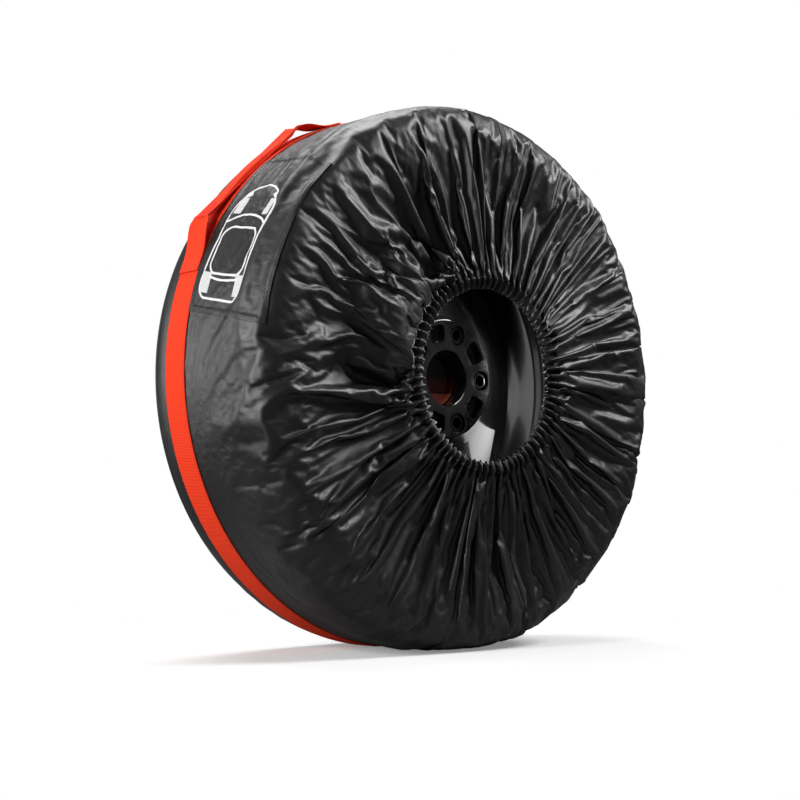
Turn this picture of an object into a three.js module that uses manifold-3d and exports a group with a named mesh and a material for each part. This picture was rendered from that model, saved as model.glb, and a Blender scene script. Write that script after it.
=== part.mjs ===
// A fabric wheel bag drawn over a car wheel: a gathered front with an elastic mouth, a closed back, and a
// webbing band with a carrying handle round the tread.
// Millimetres, +Z up. The axle lies along Y, the open front of the cover faces -Y, and the wheel stands
// on the XY plane with the origin under its centre.
import * as THREE from "three";
import { mergeVertices } from "three/addons/utils/BufferGeometryUtils.js";
import Module from "manifold-3d";

const wasm = await Module();
wasm.setup();

// Driving dimensions: a 225/50 R17 tyre on a 7.5 inch rim with a 5 x 114.3 bolt circle.
const TYRE_RADIUS = 328.4;
const TYRE_HALF_WIDTH = 112.5;
const SEAT_RADIUS = 215.9; // where the beads sit
const FLANGE_RADIUS = 233;
const WELL_RADIUS = 196; // inside of the drop centre
const PAD_RADIUS = 73;
const PAD_Y = -58; // mounting pad's face
const HUB_OUTER_Y = -22; // outboard end of the hub
const BORE_RADIUS = 33.55;
const LUG_CIRCLE_RADIUS = 57.15;
const LUG_COUNT = 5;
const LUG_HOLE_RADIUS = 7.2;

const COVER_RADIUS = 332.5; // outside of the cover on the tread
const FABRIC = 1.6; // a panel with its slack
const GAP = 0.3; // between pieces that touch
const STRAP_WIDTH = 38;
const STRAP_THICKNESS = 1.6;
const STRAP_Y = 43; // middle of the webbing band, towards the rear shoulder
const HEM_RADIUS = 104.5; // the cover's elastic mouth
const HEM_DEPTH = 14; // radial depth of the hem casing
const HEM_Y = 127; // the mouth's distance in front of the wheel's middle plane
const CASING_HALF_DEPTH = 3.5; // along the axle
const CASING_WALL = 1;
const BACK_Y = 115.5; // the closed back's distance behind the wheel's middle plane

const SEGMENTS = 48; // round every large ring, so nested rings keep their gaps
const STEP = (2 * Math.PI) / SEGMENTS;
const CENTRE_Z = COVER_RADIUS * Math.cos(STEP); // the lowest facet of each ring is pressed flat on the floor

const RUBBER = { color: 0x17181a, roughness: 0.85, metalness: 0 };
const GLOSS_BLACK = { color: 0x0b0b0d, roughness: 0.15, metalness: 0.2 };
const NYLON = { color: 0x141416, roughness: 0.45, metalness: 0 };
const WEBBING = { color: 0xf6401f, roughness: 0.7, metalness: 0 };
const THREAD = { color: 0xd8341a, roughness: 0.8, metalness: 0 };
const ELASTIC = { color: 0x26262a, roughness: 0.8, metalness: 0 };
const CAP_PLASTIC = { color: 0x4a1f16, roughness: 0.4, metalness: 0 };
const BRASS = { color: 0xb08d45, roughness: 0.35, metalness: 1 };
const BLACK_PLASTIC = { color: 0x101012, roughness: 0.4, metalness: 0 };

// ---------------------------------------------------------------- solids and booleans

// A geometry without seams, holding positions only, as a boolean library needs it.
function welded(geometry) {
  const bare = geometry.index ? geometry.toNonIndexed() : geometry.clone();
  bare.deleteAttribute("normal");
  bare.deleteAttribute("uv");
  return mergeVertices(bare, 1e-4);
}

function solid(geometry) {
  const merged = welded(geometry);
  return new wasm.Manifold(
    new wasm.Mesh({
      numProp: 3,
      vertProperties: new Float32Array(merged.attributes.position.array),
      triVerts: new Uint32Array(merged.index.array),
    }),
  );
}

function geometryOf(body) {
  const mesh = body.getMesh();
  const positions = new Float32Array(mesh.numVert * 3);
  for (let i = 0; i < mesh.numVert; i++) {
    positions.set(mesh.vertProperties.subarray(i * mesh.numProp, i * mesh.numProp + 3), i * 3);
  }
  const geometry = new THREE.BufferGeometry();
  geometry.setAttribute("position", new THREE.BufferAttribute(positions, 3));
  geometry.setIndex(new THREE.BufferAttribute(new Uint32Array(mesh.triVerts), 1));
  return geometry;
}

// A ring turned round the axle from a closed section of [radius, y] corners.
function ring(section, segments = SEGMENTS) {
  const points = section.map(([radius, y]) => new THREE.Vector2(radius, y));
  const isClockwise = THREE.ShapeUtils.area(points) < 0;
  const ordered = isClockwise ? points : points.reverse();
  ordered.push(ordered[0].clone());
  return new THREE.LatheGeometry(ordered.reverse(), segments);
}

// A wedge of space round the axle between two angles, measured in degrees from +X towards +Z.
function wedge(fromDegrees, toDegrees, reach = 500) {
  const outline = new THREE.Shape();
  outline.moveTo(0, 0);
  const steps = Math.max(2, Math.ceil((toDegrees - fromDegrees) / 30));
  for (let i = 0; i <= steps; i++) {
    const angle = THREE.MathUtils.degToRad(fromDegrees + ((toDegrees - fromDegrees) * i) / steps);
    outline.lineTo(reach * Math.cos(angle), reach * Math.sin(angle));
  }
  outline.closePath();
  return new THREE.ExtrudeGeometry(outline, { depth: 2 * reach, bevelEnabled: false })
    .rotateX(Math.PI / 2)
    .translate(0, reach, 0);
}

// A cylinder or cone along Y between two y values.
function post(radiusAtLow, radiusAtHigh, lowY, highY, sides = 16) {
  return new THREE.CylinderGeometry(radiusAtHigh, radiusAtLow, highY - lowY, sides).translate(
    0,
    (lowY + highY) / 2,
    0,
  );
}

// The tyre and the cover give way on the floor: the lowest corner of a ring rises until its two facets
// are level, fully near the tread and not at all by the rim.
const SQUASH = COVER_RADIUS - CENTRE_Z;
const SQUASH_FREE_RADIUS = 240;
const SQUASH_FULL_RADIUS = 300;
function pressedFlat(geometry) {
  const place = geometry.attributes.position;
  for (let i = 0; i < place.count; i++) {
    const radius = Math.hypot(place.getX(i), place.getZ(i));
    const isLowest = Math.abs(place.getX(i)) < 0.01 && place.getZ(i) < 0;
    const share = THREE.MathUtils.clamp(
      (radius - SQUASH_FREE_RADIUS) / (SQUASH_FULL_RADIUS - SQUASH_FREE_RADIUS),
      0,
      1,
    );
    if (isLowest) place.setZ(i, place.getZ(i) + SQUASH * share);
  }
  return geometry;
}

const mirrored = (section) => section.map(([radius, y]) => [radius, -y]);

const wheel = new THREE.Group();
wheel.position.y = (HEM_Y + CASING_HALF_DEPTH - BACK_Y) / 2;
wheel.position.z = CENTRE_Z;

function piece(name, geometry, finish, parent = wheel) {
  const mesh = new THREE.Mesh(geometry, new THREE.MeshStandardMaterial(finish));
  mesh.name = name;
  parent.add(mesh);
  return mesh;
}

// ---------------------------------------------------------------- tyre

// Half of the tyre's section on the -Y side, from the tread's crown round the shoulder and the sidewall
// to the bead, and back up the liner.
const treadHalf = [
  [TYRE_RADIUS - 1.2, -74],
  [TYRE_RADIUS - 7, -88],
  [312, -100],
  [275, -TYRE_HALF_WIDTH],
  [238, -104.5],
  [230, -97.6],
  [219.6, -96.6],
  [SEAT_RADIUS + GAP + 0.6, -94],
];
const linerHalf = [
  [SEAT_RADIUS + GAP + 0.6, -79],
  [230, -88],
  [272, -101],
  [304, -90],
  [316, -60],
];
const tyreHalf = [...treadHalf, ...linerHalf];
const crown = [TYRE_RADIUS, 0];
const tyreSection = [crown, ...tyreHalf, ...mirrored(tyreHalf).reverse()];
piece("tyre", pressedFlat(ring(tyreSection)), RUBBER);

// ---------------------------------------------------------------- rim barrel, with its valve hole

const VALVE_Y = 70;
const VALVE_ANGLE = -52.5; // degrees from +X towards +Z
const VALVE_HOLE_RADIUS = 6;
const BARREL_SKIN = 7;
const barrelOuter = [
  [FLANGE_RADIUS - 2.5, -107],
  [FLANGE_RADIUS, -103.5],
  [FLANGE_RADIUS - 2, -99.4],
  [SEAT_RADIUS + 3, -98],
  [SEAT_RADIUS, -95],
  [SEAT_RADIUS - 3, -42],
  [WELL_RADIUS + BARREL_SKIN, -24],
  [WELL_RADIUS + BARREL_SKIN, 36],
  [SEAT_RADIUS - 3, 52],
  [SEAT_RADIUS, 95],
  [SEAT_RADIUS + 3, 98],
  [FLANGE_RADIUS - 2, 99.4],
  [FLANGE_RADIUS, 103.5],
  [FLANGE_RADIUS - 2.5, 107],
];
const barrelInner = [
  [SEAT_RADIUS - 7, 95],
  [SEAT_RADIUS - 9, 54],
  [WELL_RADIUS, 43],
  [WELL_RADIUS, -19],
  [SEAT_RADIUS - 11, -31],
  [SEAT_RADIUS - 7, -95],
];

// Carries a shape built along +Y to the valve: its +Y end points from the barrel to the axle.
function toValve(geometry) {
  return geometry
    .rotateZ(Math.PI / 2)
    .translate(SEAT_RADIUS, VALVE_Y, 0)
    .rotateY(THREE.MathUtils.degToRad(-VALVE_ANGLE));
}
const valveHole = solid(toValve(post(VALVE_HOLE_RADIUS, VALVE_HOLE_RADIUS, -12, 24)));
const barrel = solid(ring([...barrelOuter, ...barrelInner])).subtract(valveHole);
piece("rim_barrel", geometryOf(barrel), GLOSS_BLACK);

// ---------------------------------------------------------------- wheel centre: bowl, hub and pad

const BOWL_EDGE_RADIUS = WELL_RADIUS - GAP;
const bowlBack = [
  [BORE_RADIUS + 2, PAD_Y],
  [PAD_RADIUS, PAD_Y],
  [PAD_RADIUS + 1.5, PAD_Y + 17],
  [PAD_RADIUS + 9, PAD_Y + 25],
  [140, 2],
  [172, 24],
  [BOWL_EDGE_RADIUS, 31],
];
const bowlFront = [
  [BOWL_EDGE_RADIUS, 46],
  [182, 44],
  [134, 14],
  [84, -16],
  [62, HUB_OUTER_Y],
  [BORE_RADIUS, HUB_OUTER_Y],
  [BORE_RADIUS, PAD_Y + 2],
];

const RECESS_DEPTH = 6; // the spokes stand this far above the panels between them
const RECESS_HALF_ANGLE = 22;
const recessBand = [
  [174, 38 - RECESS_DEPTH],
  [134, 14 - RECESS_DEPTH],
  [94, -10 - RECESS_DEPTH],
  [94, 60],
  [174, 60],
];

const POCKET_INNER = 44;
const POCKET_OUTER = 68;
const POCKET_HALF_ANGLE = 14.5;
const POCKET_DEPTH = 13;
const LUG_RECESS_RADIUS = 12.4;
const LUG_RECESS_DEPTH = 7;
const LUG_LIP_RADIUS = 9.2;
const LUG_LIP_HEIGHT = 5;
const NUT_SEAT_RADIUS = 13;

function placedRound(geometry, radius, degrees) {
  return geometry.translate(radius, 0, 0).rotateY(THREE.MathUtils.degToRad(-degrees));
}

let centre = solid(ring([...bowlBack, ...bowlFront]));
for (let i = 0; i < LUG_COUNT; i++) {
  const lugAngle = (360 / LUG_COUNT) * i;
  const betweenAngle = lugAngle + 180 / LUG_COUNT;
  const atLug = (geometry) => solid(placedRound(geometry, LUG_CIRCLE_RADIUS, lugAngle));
  const recess = atLug(post(LUG_RECESS_RADIUS, LUG_RECESS_RADIUS, PAD_Y - 5, PAD_Y + LUG_RECESS_DEPTH));
  const lip = atLug(
    post(LUG_LIP_RADIUS - 0.8, LUG_LIP_RADIUS, PAD_Y + LUG_RECESS_DEPTH - LUG_LIP_HEIGHT, PAD_Y + LUG_RECESS_DEPTH + 1),
  );
  const hole = atLug(post(LUG_HOLE_RADIUS, LUG_HOLE_RADIUS, PAD_Y - 5, HUB_OUTER_Y + 5));
  const nutSeat = atLug(post(LUG_HOLE_RADIUS, NUT_SEAT_RADIUS, HUB_OUTER_Y - 11, HUB_OUTER_Y - 3));
  const nutWell = atLug(post(NUT_SEAT_RADIUS, NUT_SEAT_RADIUS, HUB_OUTER_Y - 3.01, HUB_OUTER_Y + 20));
  const pocketBand = solid(
    ring([
      [POCKET_INNER, PAD_Y - 5],
      [POCKET_OUTER, PAD_Y - 5],
      [POCKET_OUTER, PAD_Y + POCKET_DEPTH],
      [POCKET_INNER, PAD_Y + POCKET_DEPTH],
    ]),
  );
  const pocket = pocketBand.intersect(
    solid(wedge(betweenAngle - POCKET_HALF_ANGLE, betweenAngle + POCKET_HALF_ANGLE)),
  );
  const spokeGap = solid(ring(recessBand)).intersect(
    solid(wedge(betweenAngle - RECESS_HALF_ANGLE, betweenAngle + RECESS_HALF_ANGLE)),
  );
  centre = centre.subtract(recess).add(lip).subtract(hole).subtract(nutSeat).subtract(nutWell);
  centre = centre.subtract(pocket).subtract(spokeGap);
}
piece("wheel_centre", geometryOf(centre), GLOSS_BLACK);

// ---------------------------------------------------------------- centre cap, clipped in the bore

const CAP_SIDES = 24;
const capSection = [
  [0, HUB_OUTER_Y - 1],
  [BORE_RADIUS - 3.4, HUB_OUTER_Y - 1],
  [BORE_RADIUS - 3.4, HUB_OUTER_Y - 13],
  [BORE_RADIUS - 0.9, HUB_OUTER_Y - 13],
  [BORE_RADIUS - 0.9, HUB_OUTER_Y + GAP],
  [BORE_RADIUS + 3, HUB_OUTER_Y + GAP],
  [BORE_RADIUS + 2.6, HUB_OUTER_Y + 2.4],
  [BORE_RADIUS - 4, HUB_OUTER_Y + 4.2],
  [0, HUB_OUTER_Y + 5],
];
piece("centre_cap", ring(capSection, CAP_SIDES), CAP_PLASTIC);

// ---------------------------------------------------------------- valve: rubber stem, core and cap

const VALVE_SIDES = 12;
const STEM_TIP = 44;
const stemSection = [
  [0, -6],
  [8.5, -6],
  [9.5, -2],
  [7.6, -0.2],
  [5.6, 0.2],
  [5.6, 9.4],
  [7, 10.4],
  [6.2, 20],
  [4.4, 31],
  [3.7, 33],
  [3.7, STEM_TIP],
  [1.9, STEM_TIP],
  [1.9, 22],
  [0, 22],
];
piece("valve_stem", toValve(ring(stemSection, VALVE_SIDES)), RUBBER);

const coreSection = [
  [0, 22.3],
  [1.5, 22.3],
  [1.5, STEM_TIP - 2],
  [0.8, STEM_TIP - 2],
  [0.8, STEM_TIP - 0.4],
  [0, STEM_TIP - 0.4],
];
piece("valve_core", toValve(ring(coreSection, VALVE_SIDES)), BRASS);

const valveCapSection = [
  [4.05, 34],
  [5, 34],
  [5, 45.4],
  [4.2, 46.6],
  [0, 46.6],
  [0, STEM_TIP + GAP],
  [4.05, STEM_TIP + GAP],
];
piece("valve_cap", toValve(ring(valveCapSection, VALVE_SIDES)), BLACK_PLASTIC);

// ---------------------------------------------------------------- front panel: two gathered gores

const underStrapRadius = COVER_RADIUS - STRAP_THICKNESS - GAP;
const strapLow = STRAP_Y - STRAP_WIDTH / 2;
const strapHigh = STRAP_Y + STRAP_WIDTH / 2;
const panelEndRadius = HEM_RADIUS + HEM_DEPTH + GAP;

// Outside and inside of the gathered cloth, from the webbing band over the tread, round the shoulder
// and across the sidewall to the elastic mouth.
const frontSection = [
  [underStrapRadius, STRAP_Y - GAP / 2],
  [underStrapRadius, strapLow - GAP],
  [COVER_RADIUS, strapLow - GAP - 1],
  [COVER_RADIUS, -78],
  [COVER_RADIUS - 4.5, -92],
  [COVER_RADIUS - 15, -104],
  [285, -116.5],
  [180, -125],
  [panelEndRadius, -HEM_Y],
  [panelEndRadius, -HEM_Y + FABRIC],
  [180, -125 + FABRIC],
  [284.5, -116.5 + FABRIC],
  [COVER_RADIUS - 16, -104 + FABRIC],
  [COVER_RADIUS - 5.9, -91],
  [COVER_RADIUS - FABRIC, -78],
  [COVER_RADIUS - FABRIC, strapLow - GAP - 2],
  [underStrapRadius - FABRIC, strapLow - GAP - 1],
  [underStrapRadius - FABRIC, STRAP_Y - GAP / 2],
];

const UPPER_SEAM = 82.5;
const LOWER_SEAM = -75;
const SEAM_GAP = 0.06; // degrees on each side of a seam
function gore(fromDegrees, toDegrees) {
  const cut = solid(wedge(fromDegrees + SEAM_GAP, toDegrees - SEAM_GAP));
  return geometryOf(solid(pressedFlat(ring(frontSection))).intersect(cut));
}
piece("front_panel_right", gore(LOWER_SEAM, UPPER_SEAM), NYLON);
piece("front_panel_left", gore(UPPER_SEAM, LOWER_SEAM + 360), NYLON);

// A tape lies over each seam from the band to the outer part of the face.
const TAPE_HALF_ANGLE = 0.9;
const TAPE_LIFT = 0.35;
const TAPE_THICKNESS = 0.8;
const tapeSection = [
  [COVER_RADIUS + TAPE_LIFT + TAPE_THICKNESS, strapLow - 3],
  [COVER_RADIUS + TAPE_LIFT + TAPE_THICKNESS, -78.4],
  [COVER_RADIUS - 3.4, -92.8],
  [COVER_RADIUS - 14.1, -105.4],
  [288, -117.3],
  [287.8, -116.4],
  [COVER_RADIUS - 14.6, -104.6],
  [COVER_RADIUS - 4, -92.3],
  [COVER_RADIUS + TAPE_LIFT, -78.1],
  [COVER_RADIUS + TAPE_LIFT, strapLow - 3],
];
for (const [place, degrees] of [["upper", UPPER_SEAM], ["lower", LOWER_SEAM]]) {
  const cut = solid(wedge(degrees - TAPE_HALF_ANGLE, degrees + TAPE_HALF_ANGLE));
  piece(`seam_tape_${place}`, geometryOf(solid(ring(tapeSection)).intersect(cut)), NYLON);
}

// ---------------------------------------------------------------- hem and the elastic inside it

const hemOuterRadius = HEM_RADIUS + HEM_DEPTH;
const hemSection = [
  [HEM_RADIUS, -HEM_Y - CASING_HALF_DEPTH],
  [hemOuterRadius, -HEM_Y - CASING_HALF_DEPTH],
  [hemOuterRadius, -HEM_Y - CASING_HALF_DEPTH + CASING_WALL],
  [HEM_RADIUS + CASING_WALL, -HEM_Y - CASING_HALF_DEPTH + CASING_WALL],
  [HEM_RADIUS + CASING_WALL, -HEM_Y + CASING_HALF_DEPTH - CASING_WALL],
  [hemOuterRadius, -HEM_Y + CASING_HALF_DEPTH - CASING_WALL],
  [hemOuterRadius, -HEM_Y + CASING_HALF_DEPTH],
  [HEM_RADIUS, -HEM_Y + CASING_HALF_DEPTH],
];
const elasticSection = [
  [HEM_RADIUS + 2.5, -HEM_Y - 1.5],
  [HEM_RADIUS + 10.5, -HEM_Y - 1.5],
  [HEM_RADIUS + 10.5, -HEM_Y + 1.5],
  [HEM_RADIUS + 2.5, -HEM_Y + 1.5],
];
piece("front_hem", ring(hemSection), NYLON);
piece("front_elastic", ring(elasticSection), ELASTIC);

// ---------------------------------------------------------------- back: gusset, piping and closed disc

const gussetSection = [
  [underStrapRadius, STRAP_Y + GAP / 2],
  [underStrapRadius, strapHigh + GAP],
  [COVER_RADIUS, strapHigh + GAP + 1],
  [COVER_RADIUS, 78],
  [COVER_RADIUS - 4.5, 92],
  [COVER_RADIUS - 8, 96.6],
  [COVER_RADIUS - 9.4, 95.8],
  [COVER_RADIUS - 5.9, 91],
  [COVER_RADIUS - FABRIC, 78],
  [COVER_RADIUS - FABRIC, strapHigh + GAP + 2],
  [underStrapRadius - FABRIC, strapHigh + GAP + 1],
  [underStrapRadius - FABRIC, STRAP_Y + GAP / 2],
];
piece("rear_gusset", pressedFlat(ring(gussetSection)), NYLON);

const discSection = [
  [0, BACK_Y],
  [268, BACK_Y],
  [300, BACK_Y - 3],
  [COVER_RADIUS - 15, 105.2],
  [COVER_RADIUS - 10.6, 99.6],
  [COVER_RADIUS - 12, 98.9],
  [COVER_RADIUS - 16.2, 104.2],
  [299.4, BACK_Y - 3 - FABRIC],
  [267.8, BACK_Y - FABRIC],
  [0, BACK_Y - FABRIC],
];
piece("rear_disc", pressedFlat(ring(discSection)), NYLON);

const PIPING_RADIUS = 2.6;
const PIPING_SIDES = 6;
const pipingSection = [];
for (let i = 0; i < PIPING_SIDES; i++) {
  const angle = (2 * Math.PI * i) / PIPING_SIDES;
  const radius = COVER_RADIUS - 7.3 + PIPING_RADIUS * Math.cos(angle);
  pipingSection.push([radius, 99.6 + PIPING_RADIUS * Math.sin(angle)]);
}
piece("shoulder_piping", pressedFlat(ring(pipingSection)), NYLON);

// ---------------------------------------------------------------- webbing band round the tread

const strapSection = [
  [COVER_RADIUS, strapLow],
  [COVER_RADIUS, strapHigh],
  [COVER_RADIUS - STRAP_THICKNESS, strapHigh],
  [COVER_RADIUS - STRAP_THICKNESS, strapLow],
];
piece("perimeter_strap", pressedFlat(ring(strapSection)), WEBBING);

// ---------------------------------------------------------------- carrying handle

// A band that follows a line of [radius, degrees] stations round the axle, with a width along the axle
// and a thickness. The line is the band's underside.
function bandAlong(stations, width, thickness) {
  const at = ([radius, degrees], lift) => {
    const angle = THREE.MathUtils.degToRad(degrees);
    return new THREE.Vector2((radius + lift) * Math.cos(angle), (radius + lift) * Math.sin(angle));
  };
  const outline = [
    ...stations.map((station) => at(station, thickness)),
    ...stations.map((station) => at(station, 0)).reverse(),
  ];
  return new THREE.ExtrudeGeometry(new THREE.Shape(outline), { depth: width, bevelEnabled: false })
    .rotateX(Math.PI / 2)
    .translate(0, STRAP_Y + width / 2, 0);
}

// The handle's ends are sewn flat on the band and curl up to the grip, where the webbing is folded in
// half. The grip rests on the band and lifts straight off it.
const GRIP_LOW_ANGLE = 149;
const GRIP_HIGH_ANGLE = 118.5;
const TAB_LOW_ANGLE = 160.5;
const TAB_HIGH_ANGLE = 108;
const GRIP_WIDTH = 19;
const GRIP_THICKNESS = 4;
const TAB_THICKNESS = 2;
const GRIP_END_RISE = 8; // how far the grip's ends stand off the band
const sewnRadius = COVER_RADIUS + GAP;
const gripRadius = COVER_RADIUS + 1;

const GRIP_STEPS = 12;
const gripStations = [];
for (let i = 0; i <= GRIP_STEPS; i++) {
  const fromMiddle = (2 * i) / GRIP_STEPS - 1;
  const middleAngle = (GRIP_LOW_ANGLE + GRIP_HIGH_ANGLE) / 2;
  const halfAngle = (GRIP_HIGH_ANGLE - GRIP_LOW_ANGLE) / 2;
  gripStations.push([gripRadius + GRIP_END_RISE * fromMiddle ** 4, middleAngle + halfAngle * fromMiddle]);
}
piece("handle_grip", bandAlong(gripStations, GRIP_WIDTH, GRIP_THICKNESS), WEBBING);

const TAB_END_GAP = 0.6; // degrees between a tab and the grip
const TAB_SEWN_LENGTH = 2.8; // degrees of each tab that are sewn down
const TAB_CURL = [
  // share of the free length, share of the rise to the grip
  [0.33, 0.48],
  [0.67, 0.9],
  [1, 1],
];

function tabStations(sewnAngle, gripAngle) {
  const towards = Math.sign(gripAngle - sewnAngle);
  const freeFrom = sewnAngle + towards * TAB_SEWN_LENGTH;
  const freeTo = gripAngle - towards * TAB_END_GAP;
  const rise = gripRadius + GRIP_END_RISE - sewnRadius;
  const curl = TAB_CURL.map(([along, up]) => [sewnRadius + rise * up, freeFrom + (freeTo - freeFrom) * along]);
  return [[sewnRadius, sewnAngle], [sewnRadius, freeFrom], ...curl];
}
const lowerTab = tabStations(TAB_LOW_ANGLE, GRIP_LOW_ANGLE);
const upperTab = tabStations(TAB_HIGH_ANGLE, GRIP_HIGH_ANGLE).reverse();
piece("handle_tab_lower", bandAlong(lowerTab, STRAP_WIDTH, TAB_THICKNESS), WEBBING);
piece("handle_tab_upper", bandAlong(upperTab, STRAP_WIDTH, TAB_THICKNESS), WEBBING);

const STITCH_THICKNESS = 0.8;
const STITCH_WIDTH = 30;
const STITCH_INSET = 0.4; // degrees between a tab's end and its stitches
const STITCH_LENGTH = 2;
const stitchRadius = sewnRadius + TAB_THICKNESS + GAP;
const lowerStitch = [
  [stitchRadius, TAB_LOW_ANGLE - STITCH_INSET],
  [stitchRadius, TAB_LOW_ANGLE - STITCH_INSET - STITCH_LENGTH],
];
const upperStitch = [
  [stitchRadius, TAB_HIGH_ANGLE + STITCH_INSET + STITCH_LENGTH],
  [stitchRadius, TAB_HIGH_ANGLE + STITCH_INSET],
];
piece("handle_stitching_lower", bandAlong(lowerStitch, STITCH_WIDTH, STITCH_THICKNESS), THREAD);
piece("handle_stitching_upper", bandAlong(upperStitch, STITCH_WIDTH, STITCH_THICKNESS), THREAD);

// ---------------------------------------------------------------- sewn patch that carries the wheel diagram

const PATCH_FROM = 127.5;
const PATCH_TO = 172.5;
const PATCH_THICKNESS = 0.9;
const PATCH_LIFT = 0.35;
const PATCH_EDGE_Y = 20;
const patchSection = [
  [COVER_RADIUS + PATCH_LIFT + PATCH_THICKNESS, PATCH_EDGE_Y],
  [COVER_RADIUS + PATCH_LIFT + PATCH_THICKNESS, -78.4],
  [COVER_RADIUS - 3.4, -92.8],
  [COVER_RADIUS - 13.6, -105],
  [COVER_RADIUS - 14.3, -104.4],
  [COVER_RADIUS - 4.1, -92.3],
  [COVER_RADIUS + PATCH_LIFT, -78.1],
  [COVER_RADIUS + PATCH_LIFT, PATCH_EDGE_Y],
];
const patch = solid(ring(patchSection)).intersect(solid(wedge(PATCH_FROM, PATCH_TO)));
piece("position_patch", geometryOf(patch), NYLON);

const part = new THREE.Group();
part.add(wheel);
export default part;
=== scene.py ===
import math

import bpy
import numpy as np
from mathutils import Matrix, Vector


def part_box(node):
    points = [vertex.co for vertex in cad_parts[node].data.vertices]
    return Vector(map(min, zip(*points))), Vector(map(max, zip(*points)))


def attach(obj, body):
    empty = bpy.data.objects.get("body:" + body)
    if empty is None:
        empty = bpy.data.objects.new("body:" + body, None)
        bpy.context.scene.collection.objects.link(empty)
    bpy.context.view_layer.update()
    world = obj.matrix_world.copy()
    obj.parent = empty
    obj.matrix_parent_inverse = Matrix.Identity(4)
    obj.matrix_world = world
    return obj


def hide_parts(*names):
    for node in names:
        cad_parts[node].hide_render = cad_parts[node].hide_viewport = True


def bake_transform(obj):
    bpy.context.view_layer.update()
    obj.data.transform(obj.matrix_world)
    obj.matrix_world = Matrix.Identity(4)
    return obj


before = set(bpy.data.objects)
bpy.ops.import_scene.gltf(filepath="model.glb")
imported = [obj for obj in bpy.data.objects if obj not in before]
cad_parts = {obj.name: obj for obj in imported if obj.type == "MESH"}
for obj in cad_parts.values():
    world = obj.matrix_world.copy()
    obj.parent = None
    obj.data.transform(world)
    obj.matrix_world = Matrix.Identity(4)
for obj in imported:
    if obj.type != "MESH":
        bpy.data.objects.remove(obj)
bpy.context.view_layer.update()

# ---------------------------------------------------------------- camera
# The camera stands low and to the left of the elastic mouth, so that both the face and the tread show.
# It looks a little to the left of the axle and under it.
rim_low, rim_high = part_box("rim_barrel")
axle = (rim_low + rim_high) / 2

azimuth = math.radians(-42.2)
elevation = math.radians(-4.85)
distance = 2.0
aim_left = 0.0199
aim_under = 0.0234
level = math.cos(elevation)
towards_camera = Vector((math.sin(azimuth) * level, -math.cos(azimuth) * level, math.sin(elevation)))
camera_right = Vector((math.cos(azimuth), math.sin(azimuth), 0))
camera_up = camera_right.cross(-towards_camera)
aim = axle - aim_left * camera_right - aim_under * camera_up

bpy.ops.object.select_all(action="DESELECT")
bpy.ops.object.camera_add(location=axle + distance * towards_camera)
camera = bpy.context.object
camera.data.lens = 71.6
camera.rotation_euler = (aim - camera.location).to_track_quat("-Z", "Y").to_euler()
bpy.context.scene.camera = camera
bpy.context.scene.view_settings.view_transform = "Standard"

# ---------------------------------------------------------------- finishes, and the stage
# A pale floor that runs out to a white surround. A finish is one principled material: its even values
# are set on the shader, and what varies over a surface is written as sums of patterns.


def set_all(target, **values):
    for name, value in values.items():
        setattr(target, name, value)


class Level:
    """A value that varies over a surface. Arithmetic on it adds Math nodes to its finish."""

    def __init__(self, finish, socket):
        self.finish = finish
        self.socket = socket

    def math(self, operation, first, second):
        return self.finish.node("Math", {"operation": operation}, first, second)

    def __add__(self, other):
        return self.math("ADD", self, other)

    def __sub__(self, other):
        return self.math("SUBTRACT", self, other)

    def __rsub__(self, other):
        return self.math("SUBTRACT", other, self)

    def __mul__(self, other):
        return self.math("MULTIPLY", self, other)

    def __pow__(self, other):
        return self.math("POWER", self, other)

    __radd__ = __add__
    __rmul__ = __mul__


class Finish:
    """A principled material, with its even values set on the shader's own sockets."""

    def __init__(self, name, colour, **sockets):
        self.material = bpy.data.materials.new(name)
        self.material.use_nodes = True
        self.tree = self.material.node_tree
        self.shader = self.tree.nodes["Principled BSDF"]
        self.shader.inputs["Base Color"].default_value = (*colour, 1)
        for socket, value in sockets.items():
            self.shader.inputs[socket.replace("_", " ")].default_value = value

    def node(self, kind, settings, *values, output=0, **named):
        """Adds a node: its settings first, then the values or links of its sockets."""
        made = self.tree.nodes.new("ShaderNode" + kind)
        set_all(made, **settings)
        sockets = list(zip(made.inputs, values))
        sockets += [(made.inputs[name.replace("_", " ")], value) for name, value in named.items()]
        for socket, value in sockets:
            if isinstance(value, Level):
                self.tree.links.new(value.socket, socket)
            else:
                socket.default_value = value
        return Level(self, made.outputs[output])

    def coordinates(self, source, stretch=(1, 1, 1)):
        place = self.node("TexCoord", {}, output=source)
        return self.node("Mapping", {}, Vector=place, Scale=stretch)

    def noise(self, scale, detail=2.0, source="Object", stretch=(1, 1, 1)):
        place = self.coordinates(source, stretch)
        return self.node("TexNoise", {}, Vector=place, Scale=scale, Detail=detail, output="Fac")

    def ribs(self, scale, direction, source="UV"):
        """Even ribs, scale of them to the metre, as a sine from 0 to 1."""
        settings = {"wave_type": "BANDS", "bands_direction": direction, "wave_profile": "SIN"}
        place = self.coordinates(source)
        return self.node("TexWave", settings, Vector=place, Scale=scale / 20 * math.tau, output="Fac")

    def between(self, level, low, high):
        """A colour that goes from low to high as the level goes from 0 to 1."""
        mix = self.tree.nodes.new("ShaderNodeMix")
        mix.data_type = "RGBA"
        self.tree.links.new(level.socket, mix.inputs["Factor"])
        mix.inputs[6].default_value = (*low, 1)
        mix.inputs[7].default_value = (*high, 1)
        return Level(self, mix.outputs[2])

    def feed(self, socket, level):
        self.tree.links.new(level.socket, self.shader.inputs[socket])

    def bump(self, height, strength, depth):
        bumped = self.node("Bump", {}, Strength=strength, Distance=depth, Height=height)
        self.feed("Normal", bumped)


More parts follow.
